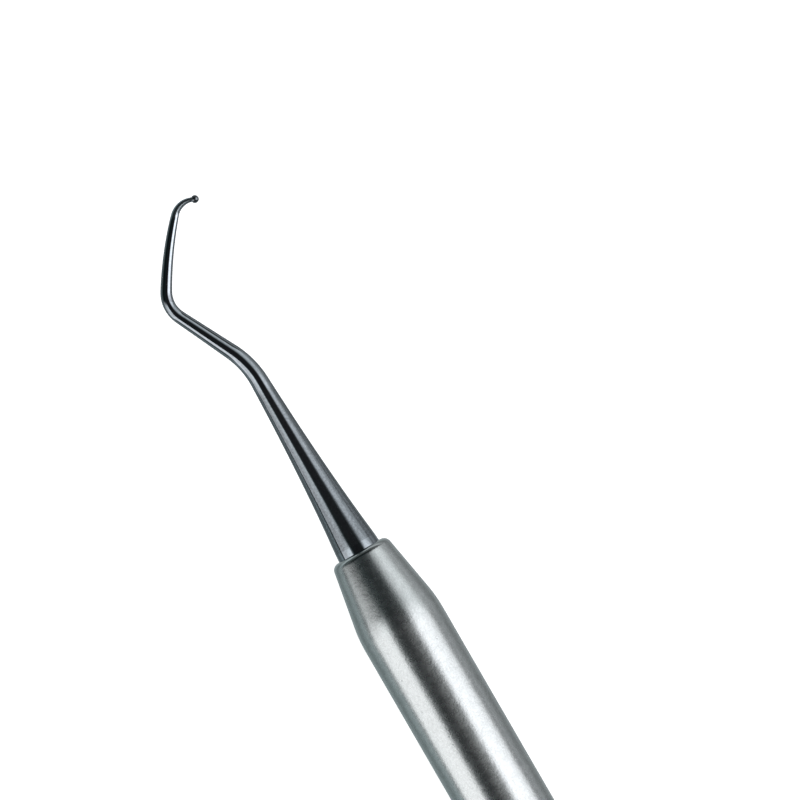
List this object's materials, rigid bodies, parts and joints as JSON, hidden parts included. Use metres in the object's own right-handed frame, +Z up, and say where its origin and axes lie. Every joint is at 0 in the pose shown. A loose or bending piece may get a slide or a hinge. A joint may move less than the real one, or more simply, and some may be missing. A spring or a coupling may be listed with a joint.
{
  "type": "dental explorer",
  "caption": "Slim dental hand instrument for probing: a hollow satin steel handle with, at each end, a tapered nose and a bent polished wire hooked over to a small ball.",
  "frame": {"origin": "on the surface that the instrument lies on, under the middle of its handle", "axes": "+X along the handle towards the front working end, +Y to the left of it in the plane of the bends, +Z up, square to that plane"},
  "size_m": [0.175, 0.0086, 0.008],
  "materials": {
    "satin_steel": "bead-blasted satin stainless steel",
    "bright_steel": "polished stainless steel, not plated",
    "turned_steel": "bare turned stainless steel"
  },
  "bodies": {
    "root": {"handle_tube": "satin_steel", "front_tang_plug": "turned_steel", "rear_tang_plug": "turned_steel", "front_working_end": "bright_steel", "rear_working_end": "bright_steel"}
  },
  "joints": []
}
